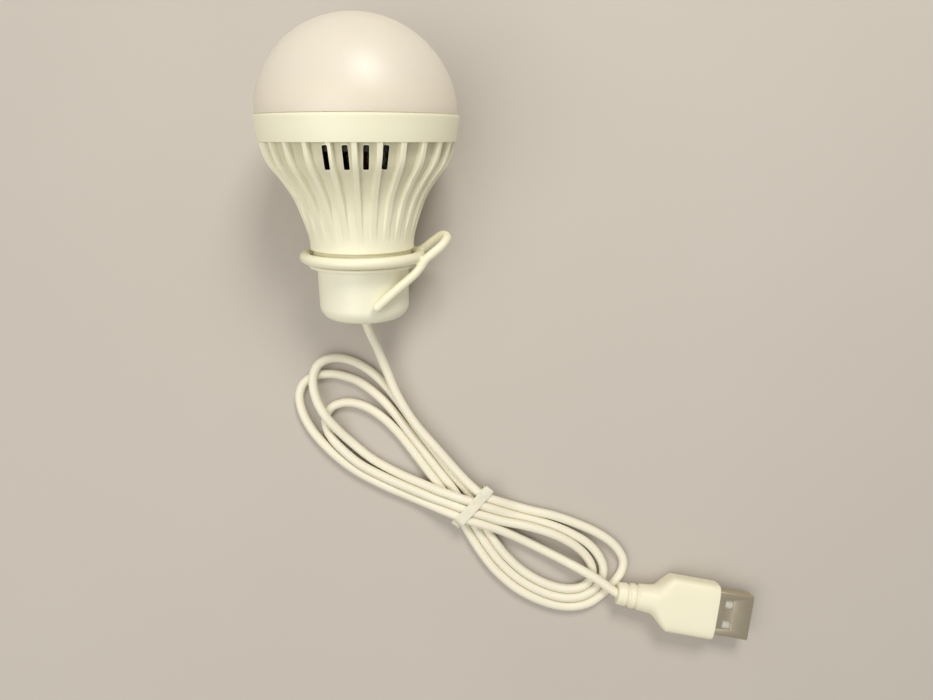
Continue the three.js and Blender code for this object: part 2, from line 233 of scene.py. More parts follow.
def smooth_route(points, spacing):
    """Points at an even spacing on a smooth curve through the given ones."""
    ends = [2 * points[0] - points[1], *points, 2 * points[-1] - points[-2]]
    dense = []
    for a, b, c, d in zip(ends, ends[1:], ends[2:], ends[3:]):
        for t in np.linspace(0, 1, 24, endpoint=False):
            dense.append(
                b + 0.5 * t * (c - a + t * (2 * a - 5 * b + 4 * c - d + t * (3 * (b - c) + d - a)))
            )
    dense = np.array([*dense, points[-1]])
    along = np.concatenate([[0], np.cumsum(np.linalg.norm(np.diff(dense, axis=0), axis=1))])
    even = np.linspace(0, along[-1], round(along[-1] / spacing) + 1)
    return np.stack([np.interp(even, along, dense[:, k]) for k in range(3)], axis=1)


def ground_under(points):
    """Lowest height of the cord's middle: on the ground, or on the strap inside the tie."""
    across = np.array([-math.sin(TIE_TURN), math.cos(TIE_TURN)])
    along = np.array([math.cos(TIE_TURN), math.sin(TIE_TURN)])
    offset = points[:, :2] - np.array(TIE_PLACE[:2])
    in_tie = np.exp(-((offset @ along / (2.5 * MM)) ** 2)) * (np.abs(offset @ across) < 7 * MM)
    return CORD_DIAMETER / 2 + GROUND_GAP + (TIE_STRAP + 0.0002) * in_tie


def settled(laid, held_start, held_end):
    """The laid cord after it has sunk under its weight, kept a diameter clear of itself."""
    points = laid.copy()
    number = len(laid)
    free = np.ones(number, bool)
    free[:held_start] = False
    free[number - held_end :] = False
    clear = CORD_DIAMETER * 1.01
    for step in range(SETTLE_STEPS):
        if step % 12 == 0:
            gap = np.linalg.norm(points[:, None] - points[None], axis=2)
            near = np.argwhere(np.triu(gap < 2 * clear, 6))
        moved = points - laid
        padded = np.pad(moved, ((1, 1), (0, 0)), mode="edge")
        smoothed = 0.5 * moved + 0.25 * (padded[:-2] + padded[2:])
        points[free] = (laid + smoothed * 0.995)[free]
        if step < SINK_STEPS:
            height = np.pad(points[:, 2], 4, mode="edge")
            level = (height[:-8] + height[8:]) / 2
            sunk = points[:, 2] + 0.3 * (level - points[:, 2]) - SINK_PER_STEP
            points[free, 2] = sunk[free]
        first, second = near.T
        apart = points[first] - points[second]
        distance = np.maximum(np.linalg.norm(apart, axis=1), 1e-7)
        push = np.maximum(clear - distance, 0)[:, None] / distance[:, None] * apart * 0.35
        shift = np.zeros_like(points)
        np.add.at(shift, first, push)
        np.add.at(shift, second, -push)
        points[free] += shift[free]
        floor = ground_under(points)
        points[free, 2] = np.maximum(points[free, 2], floor[free])
    return points


inside_base = [base_end + bulb_axis * height for height in (0.0093, 0.006, 0.003, 0, -0.0012)]
plug_heading = Vector((math.cos(PLUG_TURN), math.sin(PLUG_TURN), 0))
inside_plug = [PLUG_FRONT - plug_heading * reach for reach in (0.0265, 0.0235, 0.0205)]
stretches = [
    run_from_base,
    right_outer,
    left_inner,
    right_inner,
    left_top,
    right_middle,
    left_outer,
    run_to_plug,
]
laid_by_hand = [np.array(p) * MM for stretch in stretches for p in stretch]
route = [*map(np.array, inside_base), *laid_by_hand, *map(np.array, inside_plug)]
laid_route = smooth_route(route, MM)
cord_line = settled(laid_route, HELD_IN_BASE, HELD_IN_PLUG)

cord_curve = bpy.data.curves.new("cord", "CURVE")
cord_curve.dimensions = "3D"
cord_curve.bevel_depth = CORD_DIAMETER / 2
cord_curve.bevel_resolution = 6
cord_curve.resolution_u = 3
cord_curve.use_fill_caps = True
spline = cord_curve.splines.new("NURBS")
spline.points.add(len(cord_line) - 1)
for point, place in zip(spline.points, cord_line):
    point.co = (*place, 1)
spline.order_u = 4
spline.use_endpoint_u = True
cord = bpy.data.objects.new("cord", cord_curve)
bpy.context.scene.collection.objects.link(cord)


class Value:
    """A shader node's output. Python's operators on it add Math nodes."""

    def __init__(self, paint, output):
        self.paint = paint
        self.output = output

    def math(self, operation, *values):
        return self.paint.node("Math", {"operation": operation}, dict(enumerate(values)))

    def __add__(self, other):
        return self.math("ADD", self, other)

    def __sub__(self, other):
        return self.math("SUBTRACT", self, other)

    def __rsub__(self, other):
        return self.math("SUBTRACT", other, self)

    def __mul__(self, other):
        return self.math("MULTIPLY", self, other)

    __radd__ = __add__
    __rmul__ = __mul__


class Paint:
    """A material: its own shader, whose steady values are set directly, and the nodes that vary it."""

    def __init__(self, name, **steady):
        self.material = bpy.data.materials.new(name)
        self.material.use_nodes = True
        self.tree = self.material.node_tree
        self.shader = self.tree.nodes["Principled BSDF"]
        for socket, value in steady.items():
            self.shader.inputs[socket.replace("_", " ")].default_value = value
        self.place = self.node("TexCoord", {}, {}, "Object")

    def node(self, kind, settings, values, output=0):
        made = self.tree.nodes.new("ShaderNode" + kind)
        for key, value in settings.items():
            setattr(made, key, value)
        for key, value in values.items():
            self.feed(made.inputs[key], value)
        return Value(self, made.outputs[output])

    def feed(self, socket, value):
        if isinstance(value, Value):
            self.tree.links.new(value.output, socket)
        else:
            socket.default_value = value

    def vary(self, socket, value):
        self.feed(self.shader.inputs[socket], value)

    def noise(self, scale, detail=2.0, stretch=None):
        place = self.place
        if stretch is not None:
            place = self.node("Mapping", {}, {"Vector": place, "Scale": stretch})
        return self.node("TexNoise", {}, {"Vector": place, "Scale": scale, "Detail": detail})

    def mixed(self, mask, first, second):
        colours = {0: mask, 6: (*first, 1), 7: (*second, 1)}
        return self.node("Mix", {"data_type": "RGBA"}, colours, 2)

    def bump(self, height, depth):
        self.vary("Normal", self.node("Bump", {}, {"Height": height, "Distance": depth}))


def cord_finish():
    """Soft white PVC: a satin skin with faint draw marks, and a greyer tone where it was handled."""
    paint = Paint("cord_pvc", IOR=1.5, Subsurface_Weight=0.12, Subsurface_Scale=0.0012)
    handled = paint.noise(90)
    paint.vary("Base Color", paint.mixed(handled, (0.87, 0.82, 0.66), (0.78, 0.735, 0.59)))
    paint.vary("Roughness", 0.38 + 0.2 * paint.noise(700))
    paint.bump(paint.noise(2600, 3), 0.00004)
    return paint.material


cord.data.materials.append(cord_finish())
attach(cord, "bulb")
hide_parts("cord_run", "cord_hank")


def fit(piece, finish, body, slot, *nodes):
    """Gives a finished piece its material and its body, in place of the CAD nodes that it stands for."""
    piece.data.materials.clear()
    piece.data.materials.append(finish)
    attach(piece, body)
    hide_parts(*nodes)


def begin(add, name, **settings):
    """A new primitive on its own, selected all over and in edit mode."""
    bpy.ops.object.select_all(action="DESELECT")
    add(**settings)
    piece = bpy.context.object
    piece.name = piece.data.name = name
    bpy.ops.object.mode_set(mode="EDIT")
    return piece


def modified(piece, kind, **settings):
    """Adds one modifier and applies it."""
    bpy.ops.object.select_all(action="DESELECT")
    piece.select_set(True)
    bpy.context.view_layer.objects.active = piece
    modifier = piece.modifiers.new(kind.lower(), kind)
    for key, value in settings.items():
        setattr(modifier, key, value)
    bpy.ops.object.modifier_apply(modifier=modifier.name)


def joined(*pieces):
    """Several objects made one, under the first one's name."""
    bpy.ops.object.select_all(action="DESELECT")
    for piece in pieces:
        piece.select_set(True)
    bpy.context.view_layer.objects.active = pieces[0]
    bpy.ops.object.join()
    return pieces[0]


def smoothed(piece, sharpest=35):
    """Smooth shading, except over edges sharper than this angle in degrees."""
    bpy.ops.object.select_all(action="DESELECT")
    piece.select_set(True)
    bpy.context.view_layer.objects.active = piece
    bpy.ops.object.shade_smooth_by_angle(angle=math.radians(sharpest))


def settle_place(piece, place):
    """Bakes the object's own place, and then the given one, into its mesh."""
    bpy.context.view_layer.update()
    piece.data.transform(place @ piece.matrix_world)
    piece.matrix_world = Matrix.Identity(4)


# Tie: a strip of soft film, drawn tight round the waist of the hank so that the cords show through its
# shape, with its two ends left standing out.
STRAP_WIDTH = 0.0028
STRAP_FILM = 0.00028
STRAP_LENGTHS = 6
to_tie = Matrix.Translation(TIE_PLACE) @ Matrix.Rotation(TIE_TURN, 4, "Z")
in_tie = np.array([to_tie.inverted() @ Vector(place) for place in cord_line])
held = in_tie[(abs(in_tie[:, 0]) < 0.0016) & (abs(in_tie[:, 1]) < 0.009)]
held_radius = CORD_DIAMETER / 2 + 0.00008
strap_left = held[:, 1].min() - held_radius
strap_right = held[:, 1].max() + held_radius
strap_across = np.linspace(strap_left, strap_right, 30)
beside = strap_across[:, None] - held[:, 1]
over_cord = held[:, 2] + np.sqrt(np.maximum(held_radius**2 - beside**2, 0))
strap_top = np.where(abs(beside) <= held_radius + 1e-9, over_cord, 0.0012).max(axis=1)
for step in range(5):
    strap_top[1:-1] = np.maximum(strap_top[1:-1], (strap_top[:-2] + strap_top[2:]) / 2)


def drawn(name, points):
    """A line of edges through the given points: a point is made, and then extruded from one to the next."""
    piece = begin(bpy.ops.mesh.primitive_plane_add, name, size=0.001)
    bpy.ops.mesh.merge(type="CENTER")
    bpy.ops.transform.translate(value=points[0])
    for here, there in zip(points, points[1:]):
        move = [b - a for a, b in zip(here, there)]
        bpy.ops.mesh.extrude_vertices_move(TRANSFORM_OT_translate={"value": move})
    bpy.ops.mesh.select_all(action="SELECT")
    return piece


strap_outline = [
    (0, strap_left, 0.0011),
    (0, strap_left + 0.0002, 0.0005),
    (0, strap_left + 0.0008, 0.0002),
    (0, strap_right - 0.0008, 0.0002),
    (0, strap_right - 0.0002, 0.0005),
    (0, strap_right, 0.0011),
    *[(0, y, z) for y, z in zip(strap_across[::-1], strap_top[::-1])],
    (0, strap_left, 0.0011),
]
strap = drawn("strap", strap_outline)
bpy.ops.mesh.remove_doubles(threshold=1e-5)
bpy.ops.transform.translate(value=(-STRAP_WIDTH / 2, 0, 0))
for step in range(STRAP_LENGTHS):
    bpy.ops.mesh.extrude_region_move(TRANSFORM_OT_translate={"value": (STRAP_WIDTH / STRAP_LENGTHS, 0, 0)})
bpy.ops.mesh.select_all(action="SELECT")
bpy.ops.mesh.normals_make_consistent(inside=False)
bpy.ops.object.mode_set(mode="OBJECT")
modified(strap, "SOLIDIFY", thickness=STRAP_FILM, offset=1)
strap_ends = []
for y, z, lean, length in [
    (strap_right - 0.0006, strap_top[-5] + 0.0001, -32, 0.0026),
    (strap_left + 0.0002, 0.0016, 25, 0.0020),
]:
    tab = begin(
        bpy.ops.mesh.primitive_cube_add,
        "strap_tab",
        size=1,
        rotation=(math.radians(lean), 0, math.radians(5)),
        location=(0.0002, y, z),
    )
    bpy.ops.transform.resize(value=(STRAP_WIDTH * 0.92, length, 0.0003))
    bpy.ops.object.mode_set(mode="OBJECT")
    strap_ends.append(tab)
joined(strap, *strap_ends)
settle_place(strap, to_tie)
modified(strap, "BEVEL", width=0.00008, segments=2, limit_method="ANGLE", angle_limit=math.radians(50))
smoothed(strap, 45)


def strap_finish():
    """Thin milky film over cream cords, a little whiter where it is creased."""
    paint = Paint("tie_clear", IOR=1.5, Subsurface_Weight=0.15, Subsurface_Scale=0.001)
    paint.vary("Base Color", paint.mixed(paint.noise(900), (0.80, 0.755, 0.60), (0.72, 0.68, 0.54)))
    paint.vary("Roughness", 0.25 + 0.25 * paint.noise(1500))
    paint.bump(paint.noise(1800, 3), 0.00005)
    return paint.material


fit(strap, strap_finish(), "bulb", "tie_clear", "cord_tie")

# Housing: a ribbed cream shell, injection moulded in one piece, with four vent slots on each side that
# are square to the mould's pull. Its rim takes the dome and its neck takes the hanger and the base.
BULB_ROLL = math.radians(7)
RIM_RADIUS = 0.0247
RIM_HEIGHT = 0.0498
BAND_HEIGHT = 0.0436
RIB_COUNT = 26
RIB_TURN = math.radians(1.3)
RIB_HALF_WIDTH = 0.0006
RIB_FLANK = 0.00034
FACETS_PER_RIB = 28
GROOVE_DEPTH = 0.0014
GROOVE_END = 0.0192
GROOVE_RUN_IN = 0.72
SLOTS = [(-0.0068, 4), (-0.0025, 3), (0.0019, -3), (0.0061, -7)]  # sideways place, and lean in degrees
SLOT_SIZE = (0.0013, 0.064, 0.0053)
SLOT_DROP = 0.0005
NECK_BORE = 0.0114
across = Vector((1, 0, 0))
bulb_turn = Matrix((across, bulb_axis.cross(across), bulb_axis)).transposed()
to_bulb = Matrix.Translation(base_end) @ bulb_turn.to_4x4()
to_rolled_bulb = to_bulb @ Matrix.Rotation(BULB_ROLL, 4, "Z")


def turned(name, profile, sides):
    """A round piece about Z: its section, as (radius, height), is drawn and spun."""
    piece = drawn(name, [(radius, 0, height) for radius, height in profile])
    bpy.ops.mesh.spin(steps=sides, angle=2 * math.pi, center=(0, 0, 0), axis=(0, 0, 1))
    bpy.ops.mesh.select_all(action="SELECT")
    bpy.ops.mesh.remove_doubles(threshold=2e-6)
    bpy.ops.mesh.normals_make_consistent(inside=False)
    bpy.ops.object.mode_set(mode="OBJECT")
    return piece


def arc(centre, radii, first, last, steps):
    """Points on an ellipse's arc, as (radius, height), from one angle to another in degrees."""
    angles = [math.radians(first + (last - first) * step / steps) for step in range(steps + 1)]
    return [(centre[0] + radii[0] * math.cos(a), centre[1] + radii[1] * math.sin(a)) for a in angles]


side_shape = [(13, 19.2), (13.3, 21.4), (14.4, 25.2), (16.3, 30.3)]
side_shape += [(19, 34.7), (22.1, 38.9), (23.6, 43.6)]
side = smooth_route([np.array((r, 0, h)) * MM for r, h in side_shape], 0.7 * MM)
housing_section = [
    (NECK_BORE, 0.0148),
    (0.0120, 0.0148),
    (0.0123, 0.0151),
    (0.0123, 0.0177),
    (0.0127, 0.0178),
    (0.0130, 0.0181),
    *[(r, h) for r, _, h in side],
    (0.02376, 0.04372),
    (0.02386, 0.0441),
    (0.0243, 0.0468),
    (0.02464, 0.0490),
    (RIM_RADIUS, 0.0494),
    (0.02464, 0.0497),
    (0.02445, RIM_HEIGHT),
    (0.0229, RIM_HEIGHT),
    (0.0229, 0.0452),
    (0.0212, 0.0452),
    (0.0212, 0.0424),
    (0.0192, 0.0389),
    (0.0162, 0.0347),
    (0.0136, 0.0303),
    (0.0122, 0.0257),
    (NECK_BORE, 0.0212),
    (NECK_BORE, 0.0148),
]
housing = turned("housing_shell", housing_section, RIB_COUNT * FACETS_PER_RIB)


def soft_step(value):
    """Rises from 0 to 1 without a corner at either end."""
    value = min(max(value, 0), 1)
    return value * value * (3 - 2 * value)


# The groove attribute is a painted-shade mask: it grows towards the band, under whose edge the grooves lie
# in shade.
groove = housing.data.attributes.new("groove", "FLOAT", "POINT")
for index, vertex in enumerate(housing.data.vertices):
    x, y, height = vertex.co
    radius = math.hypot(x, y)
    outside = radius > np.interp(height, side[:, 2], side[:, 0]) - 0.0002
    if not outside or not GROOVE_END < height < BAND_HEIGHT + 0.00005:
        continue
    pitch = 2 * math.pi / RIB_COUNT
    turn = (math.atan2(y, x) + math.pi / 2 + RIB_TURN) / pitch
    from_rib = abs(turn - round(turn)) * pitch * radius
    share = (height - GROOVE_END) / (BAND_HEIGHT - GROOVE_END)
    pressed = soft_step((from_rib - RIB_HALF_WIDTH) / RIB_FLANK) * soft_step(share / GROOVE_RUN_IN)
    groove.data[index].value = pressed * share**2
    vertex.co.x *= 1 - pressed * GROOVE_DEPTH / radius
    vertex.co.y *= 1 - pressed * GROOVE_DEPTH / radius

slot_cutters = []
for x, lean in SLOTS:
    place = Vector((x, 0, BAND_HEIGHT - SLOT_DROP - SLOT_SIZE[2] / 2))
    cutter = begin(bpy.ops.mesh.primitive_cube_add, "slot_cutter", size=1, location=place)
    bpy.ops.transform.resize(value=SLOT_SIZE)
    bpy.ops.transform.rotate(value=math.radians(lean), orient_axis="Y", center_override=place)
    bpy.ops.mesh.bevel(offset=SLOT_SIZE[0] * 0.22, segments=3, affect="EDGES")
    bpy.ops.object.mode_set(mode="OBJECT")
    slot_cutters.append(cutter)
slots = joined(*slot_cutters)
modified(housing, "BOOLEAN", object=slots, operation="DIFFERENCE", solver="EXACT")
bpy.data.objects.remove(slots)
smoothed(housing, 32)
settle_place(housing, to_rolled_bulb)


def moulded_finish(name, colour, shaded, roughness, grain=0.00003):
    """Moulded plastic: a faint cloudy tone, a fine mould grain and patches that handling has polished."""
    paint = Paint(name, IOR=1.5)
    cloud = paint.noise(70)
    speck = paint.noise(1400, 1)
    paint.vary("Base Color", paint.mixed(0.75 * cloud + 0.25 * speck, colour, shaded))
    paint.vary("Roughness", roughness + 0.22 * (paint.noise(160, 3) - 0.5))
    paint.bump(paint.noise(3200, 3) + 0.6 * paint.noise(420), grain)
    return paint


def housing_finish():
    """Cream plastic, a little duller and browner in the grooves as painted shade, most just under the band.
    """
    paint = moulded_finish("housing_cream", (0.90, 0.865, 0.655), (0.87, 0.835, 0.63), 0.38)
    # Painted shade: the groove mask darkens the grooves towards a dull brown.
    groove_shade_mask = paint.node("Attribute", {"attribute_name": "groove"}, {}, 2)
    clean = paint.shader.inputs["Base Color"].links[0].from_socket
    shade = {0: 0.8 * groove_shade_mask * (0.6 + 0.8 * paint.noise(240, 3)), 7: (0.56, 0.52, 0.36, 1)}
    with_groove_shade = paint.node("Mix", {"data_type": "RGBA"}, {6: Value(paint, clean), **shade}, 2)
    paint.vary("Base Color", with_groove_shade)
    return paint.material


fit(housing, housing_finish(), "bulb", "housing_cream", "housing")

# Dome: an opal diffuser, blown or moulded a little flatter than half a ball. Its skirt is pressed into
# the housing's rim.
DOME_SEAT = 0.04986
DOME_RADIUS = 0.0242
DOME_HEIGHT = 0.023
DOME_WALL = 0.0013
dome_inside = arc((0, DOME_SEAT), (DOME_RADIUS - DOME_WALL, DOME_HEIGHT - DOME_WALL), 90, 18, 20)
dome_outside = arc((0, DOME_SEAT), (DOME_RADIUS, DOME_HEIGHT), 1.5, 90, 34)
dome_section = [
    *dome_inside,
    (0.0212, 0.0521),
    (0.0212, 0.0471),
    (0.0214, 0.0470),
    (0.0223, 0.0470),
    (0.0225, 0.0472),
    (0.0225, DOME_SEAT),
    (0.02395, DOME_SEAT),
    (0.0241, DOME_SEAT + 0.00015),
    *dome_outside,
]
dome = turned("opal_shell", dome_section, 128)
smoothed(dome, 30)
settle_place(dome, to_rolled_bulb)


def opal_finish():
    """Milky polycarbonate: light sinks in and comes back soft, under a satin skin with fine haze."""
    steady = {"Subsurface_Weight": 0.45, "Subsurface_Scale": 0.004, "Subsurface_Radius": (1, 0.85, 0.7)}
    paint = Paint("opal_dome", IOR=1.58, **steady)
    paint.vary("Base Color", paint.mixed(paint.noise(55), (0.78, 0.70, 0.575), (0.755, 0.675, 0.55)))
    paint.vary("Roughness", 0.42 + 0.16 * (paint.noise(130, 4) - 0.5))
    paint.bump(paint.noise(2400, 3) + 1.5 * paint.noise(120), 0.00002)
    return paint.material


fit(dome, opal_finish(), "bulb", "opal_dome", "diffuser_dome")

# Base: a round-ended cup pressed into the neck. Its flange keeps the hanger's ring on.
BASE_RADIUS = 0.0114
BASE_CORNER = 0.0037
base_section = [
    (0.0040, 0),
    *arc((BASE_RADIUS - BASE_CORNER, BASE_CORNER), (BASE_CORNER, BASE_CORNER), -90, 0, 14),
    (0.01155, 0.0125),
    (0.0117, 0.0133),
    (0.0120, 0.0135),
    (0.0134, 0.0135),
    (0.0136, 0.0137),
    (0.0136, 0.01415),
    (0.0134, 0.01435),
    (0.0110, 0.01435),
    (0.0110, 0.0202),
    (0.0094, 0.0202),
    (0.0094, 0.0033),
    (0.0079, 0.0018),
    (0.0032, 0.0018),
    (0.0032, 0.0006),
    (0.0040, 0.0006),
    (0.0040, 0),
]
base = turned("base_cup", base_section, 112)
modified(base, "BEVEL", width=0.00012, segments=2, limit_method="ANGLE", angle_limit=math.radians(50))
smoothed(base, 40)
settle_place(base, to_rolled_bulb)
base_paint = moulded_finish("base_cream", (0.90, 0.875, 0.69), (0.87, 0.85, 0.665), 0.34)
fit(base, base_paint.material, "bulb", "base_cream", "base_cap")

# Hanger: one moulded rod. Its collar turns freely on the neck; the rod leaves it in a long eye, for a
# hook or a string, and crosses the base to a rounded tip.
COLLAR_RADIUS = 0.0144
COLLAR_ROD = 0.00135
ARM_ROD = 0.00115
arm_shape = [
    (12.9, 16, -6.6),
    (15, 17, -4.8),
    (17.8, 19.2, -3.7),
    (20.2, 20.9, -1.7),
    (21.4, 20.6, 0.9),
    (20.3, 19, 3.2),
    (18, 17.1, 4.2),
    (16.1, 15.5, 4.4),
    (15, 13.9, 4.7),
    (13.4, 12.1, 5.9),
    (10.6, 9.9, 8.3),
    (7.6, 7.6, 10.8),
    (4.65, 5.1, 12.2),
]
hanger = begin(
    bpy.ops.mesh.primitive_torus_add,
    "hanger_rod",
    major_radius=COLLAR_RADIUS,
    minor_radius=COLLAR_ROD,
    major_segments=160,
    minor_segments=28,
    location=(0, 0, RING_HEIGHT),
)
bpy.ops.object.mode_set(mode="OBJECT")
arm_line = smooth_route([np.array((x, -up, along)) * MM for x, along, up in arm_shape], 0.6 * MM)
arm_curve = bpy.data.curves.new("arm", "CURVE")
arm_curve.dimensions = "3D"
arm_curve.bevel_depth = ARM_ROD
arm_curve.bevel_resolution = 5
arm_curve.use_fill_caps = True
arm_spline = arm_curve.splines.new("POLY")
arm_spline.points.add(len(arm_line) - 1)
for point, place in zip(arm_spline.points, arm_line):
    point.co = (*place, 1)
arm = bpy.data.objects.new("arm", arm_curve)
bpy.context.scene.collection.objects.link(arm)
bpy.ops.object.select_all(action="DESELECT")
arm.select_set(True)
bpy.context.view_layer.objects.active = arm
bpy.ops.object.convert(target="MESH")
tip = begin(
    bpy.ops.mesh.primitive_uv_sphere_add,
    "tip",
    radius=ARM_ROD * 1.04,
    segments=24,
    ring_count=16,
    location=tuple(arm_line[-1]),
)
bpy.ops.object.mode_set(mode="OBJECT")
joined(hanger, arm, tip)
settle_place(hanger, Matrix.Identity(4))
modified(hanger, "REMESH", mode="VOXEL", voxel_size=0.00021)
modified(hanger, "SMOOTH", factor=0.5, iterations=8)
smoothed(hanger, 60)
settle_place(hanger, to_bulb)
hanger_paint = moulded_finish("hanger_cream", (0.87, 0.83, 0.625), (0.845, 0.805, 0.60), 0.36)
fit(hanger, hanger_paint.material, "hanger", "housing_cream", "hanger")

# Cord entry: a soft bush in the base's end face, and a crimped steel ring inside that stops the cord
# from being pulled out.
CORD_BORE = 0.0012
bush_section = [
    (CORD_BORE, -0.0009),
    (0.0026, -0.0009),
    (0.0031, -0.0007),
    (0.0037, -0.0002),
    (0.0037, 0.0003),
    (0.0029, 0.0003),
    (0.0029, 0.0021),
    (0.0037, 0.0021),
    (0.0037, 0.0029),
    (CORD_BORE, 0.0029),
    (CORD_BORE, -0.0009),
]
bush = turned("entry_bush", bush_section, 64)
modified(bush, "BEVEL", width=0.00012, segments=2, limit_method="ANGLE")
smoothed(bush)
settle_place(bush, to_rolled_bulb)
fit(bush, cord.data.materials[0], "bulb", "cord_pvc", "cord_grommet")


def keep(node, finish, width=0.00006):
    """A CAD piece that stays: its triangles are welded, its edges rounded, and it gets its material."""
    piece = frame["nodes"][node]
    weld = piece.modifiers.new("weld", "WELD")
    weld.merge_threshold = 1e-6
    bevel = piece.modifiers.new("bevel", "BEVEL")
    bevel.width = width
    bevel.segments = 2
    bevel.limit_method = "ANGLE"
    bevel.angle_limit = math.radians(40)
    piece.data.materials.clear()
    piece.data.materials.append(finish)


def steel_finish(name, colour, roughness):
    """Plated metal: drawn along one way, with faint streaks and rubbed patches."""
    paint = Paint(name, Metallic=1)
    streak = paint.noise(900, 4, (0.06, 1, 1))
    paint.vary("Base Color", paint.mixed(streak, colour, tuple(0.82 * c for c in colour)))
    paint.vary("Roughness", roughness + 0.18 * (streak - 0.5) + 0.14 * (paint.noise(260, 3) - 0.5))
    paint.bump(streak, 0.00001)
    return paint.material


screw_steel = steel_finish("screw_steel", (0.58, 0.57, 0.55), 0.32)
keep("cord_stop", screw_steel)

# Light engine: a white aluminium-core board on a pressed aluminium cup, with ten emitters, the two
# resistors that a five-volt bulb has instead of a driver, two screws, and the two wires from the cord.
# The spreader's aluminium is painted near black: painted shade for the dark inside of the vent slots.
keep("heat_spreader", steel_finish("spreader_aluminium", (0.055, 0.052, 0.048), 0.6), 0.0001)
board = Paint("board_white", IOR=1.5)
board.vary("Base Color", board.mixed(board.noise(500), (0.86, 0.86, 0.84), (0.80, 0.80, 0.78)))
board.vary("Roughness", 0.35 + 0.2 * board.noise(900))
board.bump(board.noise(1500), 0.00002)
keep("led_board", board.material)
phosphor = Paint("led_phosphor", IOR=1.45)
phosphor_grain = phosphor.noise(1600, 4)
phosphor.vary("Base Color", phosphor.mixed(phosphor_grain, (0.86, 0.70, 0.16), (0.78, 0.58, 0.10)))
phosphor.vary("Roughness", 0.3 + 0.25 * phosphor.noise(2500))
phosphor.bump(phosphor.noise(3000), 0.00002)
for number in range(1, 11):
    keep(f"led_{number}", phosphor.material)
resistor = Paint("resistor_black", IOR=1.5)
resistor_grain = resistor.noise(2000)
resistor.vary("Base Color", resistor.mixed(resistor_grain, (0.02, 0.02, 0.022), (0.045, 0.045, 0.048)))
resistor.vary("Roughness", 0.4 + 0.2 * resistor.noise(1200))
for number in (1, 2):
    keep(f"resistor_{number}", resistor.material)
    keep(f"board_screw_{number}", screw_steel)


def wire_finish(name, colour):
    """Thin PVC insulation, slightly cloudy along its length."""
    paint = Paint(name, IOR=1.5)
    paint.vary("Base Color", paint.mixed(paint.noise(300), colour, tuple(0.7 * c for c in colour)))
    paint.vary("Roughness", 0.35 + 0.2 * paint.noise(900))
    paint.bump(paint.noise(2400), 0.00002)
    return paint.material


keep("lead_positive", wire_finish("wire_red", (0.42, 0.03, 0.02)), 0.00002)
keep("lead_negative", wire_finish("wire_black", (0.02, 0.02, 0.02)), 0.00002)

# Plug grip: soft cream plastic moulded round the plug's shell and the cord's end. Its rounded block
# narrows in sloping shoulders to a tapered strain relief with two grooves.
RELIEF_END = 0.0265
NOTCH_PLACES = (0.0213, 0.0236)
NOTCH_DEPTH = 0.0005
NOTCH_SPREAD = 0.00036
DRAWN_RADIUS = 0.01
to_plug = Matrix.Translation(PLUG_FRONT) @ Matrix.Rotation(PLUG_TURN, 4, "Z")
grip_widths = [(0, 7.4), (6, 7.4), (11.9, 7.4), (12.8, 7.2), (13.6, 6.65), (16, 4.45)]
grip_widths += [(16.8, 3.95), (17.8, 3.72), (21, 3.4), (24, 3.1), (26.5, 2.85)]
grip_heights = [(0, 3.8), (8, 3.8), (12.6, 3.8), (15.4, 3.76), (17.8, 3.66)]
grip_heights += [(21, 3.38), (24, 3.1), (26.5, 2.85)]
grip_side = smooth_route([np.array((reach, 0, half)) * MM for reach, half in grip_widths], 0.2 * MM)
grip_top = smooth_route([np.array((reach, 0, half)) * MM for reach, half in grip_heights], 0.2 * MM)
reaches = [0.00035, 0.003, 0.006, 0.009, 0.0115, *np.linspace(0.0122, 0.0262, 90)]
grip_stations = [(0, 0), (0.5, 0), (0.955, 0), (0.978, -0.00006), (0.993, -0.00018)]
grip_stations += [(1, -reach) for reach in reaches]
grip_stations += [(0.97, -0.0264), (0.91, -RELIEF_END), (0.6, -RELIEF_END), (0, -RELIEF_END)]
grip = turned("plug_grip", [(DRAWN_RADIUS * share, height) for share, height in grip_stations], 144)
for vertex in grip.data.vertices:
    x, y, height = vertex.co
    share = math.hypot(x, y) / DRAWN_RADIUS
    turn = math.atan2(y, x)
    reach = -height
    notch = NOTCH_DEPTH * max(math.exp(-(((reach - place) / NOTCH_SPREAD) ** 2)) for place in NOTCH_PLACES)
    half_width = np.interp(reach, grip_side[:, 0], grip_side[:, 2]) - notch
    half_height = np.interp(reach, grip_top[:, 0], grip_top[:, 2]) - notch
    roundness = 2 / (4.6 - 2.6 * soft_step((reach - 0.0118) / 0.0058))
    wide = math.copysign(abs(math.cos(turn)) ** roundness, math.cos(turn))
    high = math.copysign(abs(math.sin(turn)) ** roundness, math.sin(turn))
    vertex.co = (height, share * half_width * wide, share * half_height * high)
bpy.ops.object.mode_set(mode="EDIT")
bpy.ops.mesh.select_all(action="SELECT")
bpy.ops.mesh.normals_make_consistent(inside=False)
bpy.ops.object.mode_set(mode="OBJECT")
pocket = begin(bpy.ops.mesh.primitive_cube_add, "pocket", size=1, location=(-0.0043, 0, 0))
bpy.ops.transform.resize(value=(0.0096, 0.0123, 0.0048))
bpy.ops.mesh.bevel(offset=0.0008, segments=4, affect="EDGES")
bpy.ops.object.mode_set(mode="OBJECT")
modified(grip, "BOOLEAN", object=pocket, operation="DIFFERENCE", solver="EXACT")
bpy.data.objects.remove(pocket)
smoothed(grip, 40)
settle_place(grip, to_plug)
grip_paint = moulded_finish("plug_cream", (0.86, 0.81, 0.615), (0.835, 0.785, 0.59), 0.42, 0.00004)
fit(grip, grip_paint.material, "bulb", "plug_cream", "plug_body")

